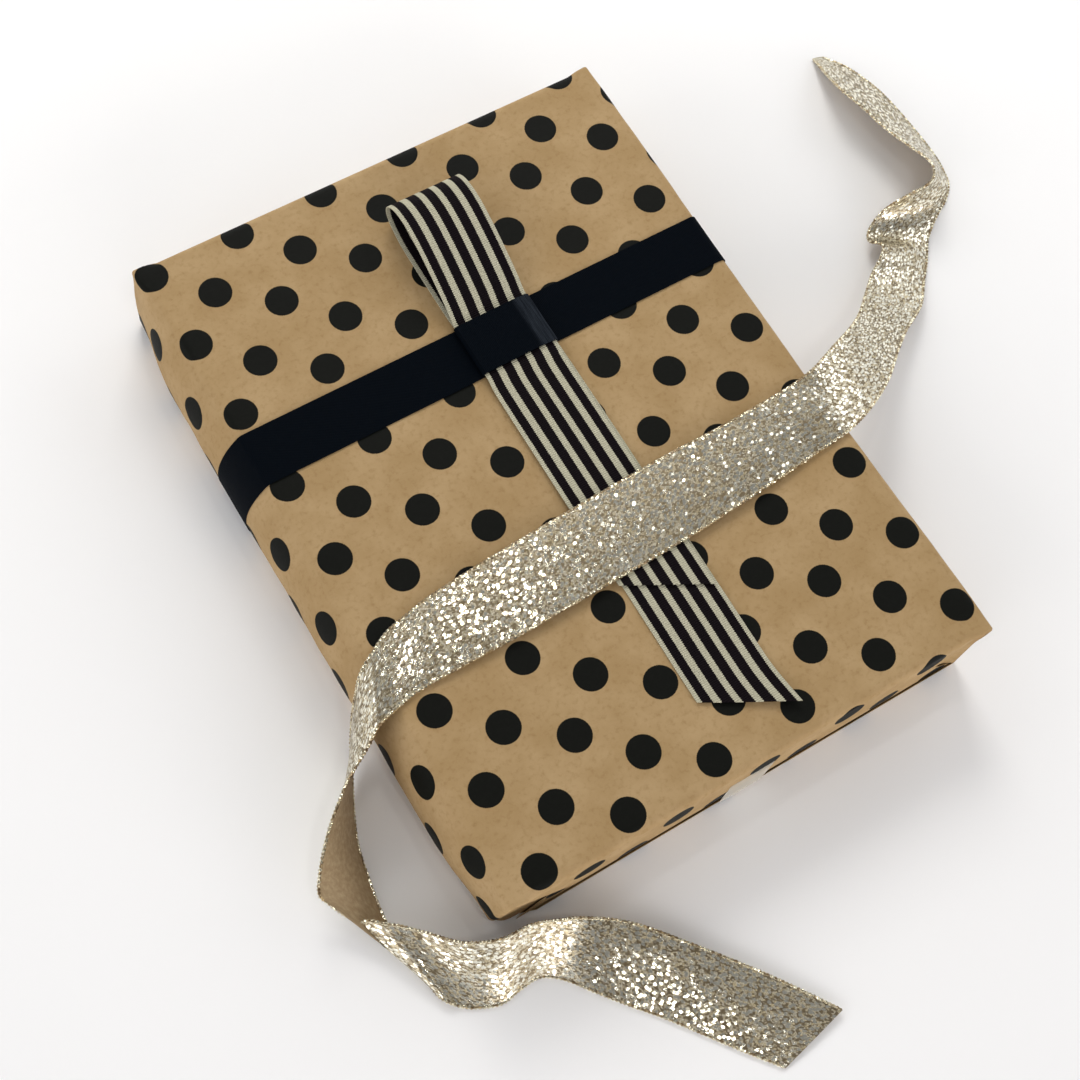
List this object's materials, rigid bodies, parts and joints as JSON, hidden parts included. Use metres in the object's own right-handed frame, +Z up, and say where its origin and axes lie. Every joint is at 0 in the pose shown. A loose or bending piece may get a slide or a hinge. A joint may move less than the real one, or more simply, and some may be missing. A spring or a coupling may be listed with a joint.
{
  "type": "gift-wrapped parcel",
  "caption": "Flat lidded box wrapped in dotted kraft paper, closed by a navy ribbon band with a folded striped ribbon bow, and a loose glitter ribbon draped across it.",
  "frame": {"origin": "centre of the parcel's underside, where it rests on the table", "axes": "+Z up, +Y along the parcel towards its far end, where the bow is, +X across the parcel towards its straight side"},
  "size_m": [0.3829, 0.3679, 0.0537],
  "materials": {
    "kraft": "matt kraft paper printed with near-black dots",
    "board": "matt uncoated folding board",
    "tissue": "thin white tissue paper",
    "tape": "clear matt adhesive tape",
    "glue": "clear tacky adhesive dot",
    "navy": "very dark navy grosgrain ribbon",
    "striped": "ribbed ribbon with ivory and black lengthwise stripes",
    "glitter": "champagne glitter face, plain tan back, corded edges"
  },
  "bodies": {
    "parcel": {"box_base": "board", "box_lid": "board", "tissue_sheet": "tissue", "paper_wrap": "kraft", "near_left_tuck": "kraft", "near_right_tuck": "kraft", "far_left_tuck": "kraft", "far_right_tuck": "kraft", "seam_tape": "tape"},
    "near_outer": {"near_outer_flap": "kraft", "near_end_tape": "tape"},
    "near_inner": {"near_inner_flap": "kraft"},
    "far_outer": {"far_outer_flap": "kraft", "far_end_tape": "tape"},
    "far_inner": {"far_inner_flap": "kraft"},
    "band": {"navy_band": "navy", "band_joint_tape": "tape", "centre_wrap": "navy", "glue_dot": "glue", "striped_upper_tail": "striped", "striped_lower_tail": "striped"},
    "loop": {"striped_loop": "striped"},
    "tail_end": {"striped_tail_end": "striped"},
    "loose_ribbon": {"glitter_ribbon": "glitter"}
  },
  "joints": [
    {"name": "near_outer_hinge", "type": "hinge", "parent": "parcel", "child": "near_outer", "pos_m": [0, -0.1383, 0.0376], "axis": [-1, 0, 0], "range_deg": [0, 85]},
    {"name": "near_inner_hinge", "type": "hinge", "parent": "parcel", "child": "near_inner", "pos_m": [0, -0.1376, 0.0004], "axis": [1, 0, 0], "range_deg": [0, 17]},
    {"name": "far_outer_hinge", "type": "hinge", "parent": "parcel", "child": "far_outer", "pos_m": [0, 0.1383, 0.0376], "axis": [1, 0, 0], "range_deg": [0, 85]},
    {"name": "far_inner_hinge", "type": "hinge", "parent": "parcel", "child": "far_inner", "pos_m": [0, 0.1376, 0.0004], "axis": [-1, 0, 0], "range_deg": [0, 17]},
    {"name": "band_slide", "type": "slide", "parent": "parcel", "child": "band", "axis": [0, 1, 0], "range_m": [-0.005, 0.04]},
    {"name": "loop_lift", "type": "hinge", "parent": "band", "child": "loop", "pos_m": [0.0077, 0.0596, 0.0403], "axis": [1, 0, 0], "range_deg": [0, 50]},
    {"name": "tail_lift", "type": "hinge", "parent": "band", "child": "tail_end", "pos_m": [0.0077, -0.0762, 0.0386], "axis": [-1, 0, 0], "range_deg": [0, 35]},
    {"name": "ribbon_lift", "type": "slide", "parent": "parcel", "child": "loose_ribbon", "axis": [0, 0, 1], "range_m": [0, 0.06]}
  ],
  "couplings": [
    {"joint": "near_inner_hinge", "follows": "near_outer_hinge", "ratio": 0.2},
    {"joint": "far_inner_hinge", "follows": "far_outer_hinge", "ratio": 0.2}
  ]
}
